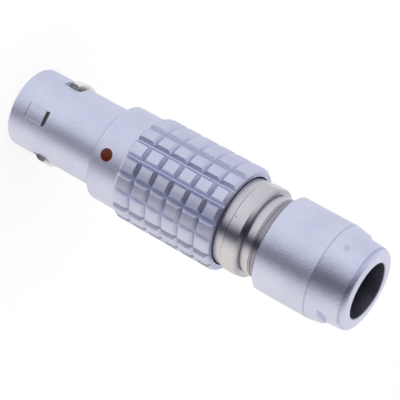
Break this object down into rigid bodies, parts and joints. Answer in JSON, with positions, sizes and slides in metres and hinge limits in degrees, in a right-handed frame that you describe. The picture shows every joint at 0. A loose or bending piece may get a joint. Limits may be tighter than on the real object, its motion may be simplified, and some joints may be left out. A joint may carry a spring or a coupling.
{
  "type": "push pull circular connector",
  "caption": "Cable-mounted metal plug with a keyed barrel, spring latch noses, a knurled pull-back grip and a collet nut that clamps the cable.",
  "frame": {"origin": "centre of the mating rim, at the barrel's open end", "axes": "+Z along the plug from the mating rim towards the cable end; the guide key and the alignment dot face -Y; the latch fingers face +X and -X"},
  "size_m": [0.012, 0.012, 0.0442],
  "materials": {
    "satin_chrome": "satin",
    "nickel": "polished",
    "dot_enamel": "gloss",
    "insulator_plastic": "matte",
    "gold_contact": "polished",
    "nickel_brass": "satin"
  },
  "bodies": {
    "core": {"latch_sleeve": "nickel", "insulator": "insulator_plastic", "contact_pin_1": "gold_contact", "contact_pin_2": "gold_contact", "contact_pin_3": "gold_contact", "contact_pin_4": "gold_contact", "contact_pin_5": "gold_contact", "contact_pin_6": "gold_contact", "contact_pin_7": "gold_contact", "contact_pin_8": "gold_contact", "insert_half_1": "nickel_brass", "insert_half_2": "nickel_brass"},
    "shell": {"outer_shell": "satin_chrome", "guide_key": "satin_chrome", "alignment_dot": "dot_enamel"},
    "finger_right": {"latch_finger_right": "nickel"},
    "finger_left": {"latch_finger_left": "nickel"},
    "collet": {"collet": "nickel_brass"},
    "nut": {"collet_nut": "satin_chrome"}
  },
  "joints": [
    {"name": "shell_slide", "type": "slide", "parent": "core", "child": "shell", "axis": [0, 0, 1], "range_m": [0, 0.001], "stiffness_N_per_m": 2000},
    {"name": "finger_right_swing", "type": "hinge", "parent": "core", "child": "finger_right", "pos_m": [0.0037, 0, 0.012], "axis": [0, 1, 0], "range_deg": [0, 4.9]},
    {"name": "finger_left_swing", "type": "hinge", "parent": "core", "child": "finger_left", "pos_m": [-0.0037, 0, 0.012], "axis": [0, -1, 0], "range_deg": [0, 4.9]},
    {"name": "collet_slide", "type": "slide", "parent": "core", "child": "collet", "axis": [0, 0, 1], "range_m": [-0.001, 0.001]},
    {"name": "nut_turn", "type": "hinge", "parent": "collet", "child": "nut", "pos_m": [0, 0, 0.0385], "axis": [0, 0, 1], "range_deg": [-720, 720]}
  ],
  "couplings": [
    {"joint": "finger_right_swing", "follows": "shell_slide", "rad_per_m": 85},
    {"joint": "finger_left_swing", "follows": "shell_slide", "rad_per_m": 85},
    {"joint": "collet_slide", "follows": "nut_turn", "m_per_rad": 0.00007957}
  ]
}
